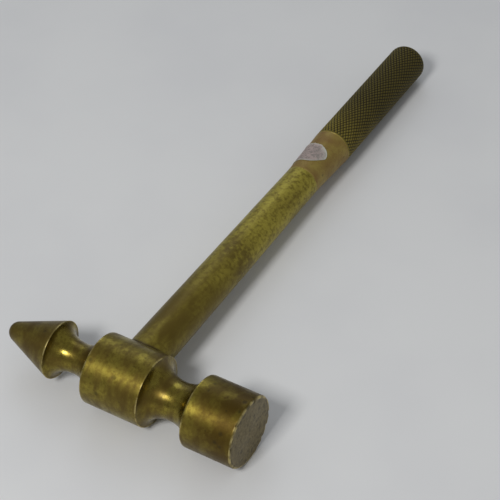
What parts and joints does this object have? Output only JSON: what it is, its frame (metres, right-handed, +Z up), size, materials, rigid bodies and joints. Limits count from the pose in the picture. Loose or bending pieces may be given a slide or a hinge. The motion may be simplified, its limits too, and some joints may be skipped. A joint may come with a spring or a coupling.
{
  "type": "hammer with nested screwdrivers",
  "caption": "Small all-brass hammer with a cone pein and a flat face; its knurled handle unscrews into flat-blade screwdrivers kept one inside the next.",
  "frame": {"origin": "on the supporting surface, under the middle of the tool's bounding box", "axes": "+Z up; +X along the level head towards the flat striking face; +Y along the handle towards the grip's end, which lies 1.46 degrees lower than the head's axis"},
  "size_m": [0.0826, 0.19, 0.022],
  "materials": {
    "head_brass": "turned, aged to olive gold",
    "shank_brass": "drawn tube, blotched olive patina",
    "band_brass": "turned, tan-brown patina",
    "grip_brass": "diamond knurled, dark patina in the grooves",
    "inner_brass": "turned and knurled, little tarnish",
    "blade_steel": "ground steel",
    "label_paper": "torn, grubby, blank"
  },
  "bodies": {
    "hammer": {"hammer_head": "head_brass", "handle_shank": "shank_brass"},
    "driver1_ferrule": {"driver1_ferrule": "band_brass"},
    "driver1_blade": {"driver1_blade": "blade_steel", "price_label": "label_paper"},
    "driver1_handle": {"driver1_handle": "grip_brass"},
    "driver2_blade": {"driver2_blade": "blade_steel"},
    "driver2_ferrule": {"driver2_ferrule": "inner_brass"},
    "driver2_handle": {"driver2_handle": "inner_brass"},
    "driver3_blade": {"driver3_blade": "blade_steel"},
    "driver3_ferrule": {"driver3_ferrule": "inner_brass"},
    "driver3_handle": {"driver3_handle": "inner_brass"},
    "driver4": {"driver4_handle": "inner_brass", "driver4_blade": "blade_steel"}
  },
  "joints": [
    {"name": "driver1_pull", "type": "slide", "parent": "hammer", "child": "driver1_ferrule", "axis": [0, 0.9997, -0.0255], "range_m": [0, 0.07]},
    {"name": "driver1_turn", "type": "hinge", "parent": "driver1_ferrule", "child": "driver1_blade", "pos_m": [0, 0.0175, 0.00841], "axis": [0, 0.9997, -0.0255], "continuous": true},
    {"name": "driver1_handle_pull", "type": "slide", "parent": "driver1_blade", "child": "driver1_handle", "axis": [0, 0.9997, -0.0255], "range_m": [0, 0.1579]},
    {"name": "driver2_pull", "type": "slide", "parent": "driver1_handle", "child": "driver2_blade", "axis": [0, -0.9997, 0.0255], "range_m": [0, 0.13762]},
    {"name": "driver2_handle_turn", "type": "hinge", "parent": "driver2_blade", "child": "driver2_ferrule", "pos_m": [0, 0.05049, 0.00757], "axis": [0, 0.9997, -0.0255], "continuous": true},
    {"name": "driver2_handle_pull", "type": "slide", "parent": "driver2_ferrule", "child": "driver2_handle", "axis": [0, 0.9997, -0.0255], "range_m": [0, 0.08162]},
    {"name": "driver3_pull", "type": "slide", "parent": "driver2_handle", "child": "driver3_blade", "axis": [0, -0.9997, 0.0255], "range_m": [0, 0.07322]},
    {"name": "driver3_handle_turn", "type": "hinge", "parent": "driver3_blade", "child": "driver3_ferrule", "pos_m": [0, 0.06399, 0.00723], "axis": [0, 0.9997, -0.0255], "continuous": true},
    {"name": "driver3_handle_pull", "type": "slide", "parent": "driver3_ferrule", "child": "driver3_handle", "axis": [0, 0.9997, -0.0255], "range_m": [0, 0.03251]},
    {"name": "driver4_pull", "type": "slide", "parent": "driver3_handle", "child": "driver4", "axis": [0, -0.9997, 0.0255], "range_m": [0, 0.02562]}
  ],
  "couplings": [
    {"joint": "driver2_pull", "follows": "driver1_handle_pull", "ratio": 0.87144},
    {"joint": "driver2_handle_pull", "follows": "driver1_handle_pull", "ratio": 0.51678},
    {"joint": "driver3_pull", "follows": "driver1_handle_pull", "ratio": 0.46359},
    {"joint": "driver3_handle_pull", "follows": "driver1_handle_pull", "ratio": 0.20583},
    {"joint": "driver4_pull", "follows": "driver1_handle_pull", "ratio": 0.16213}
  ]
}
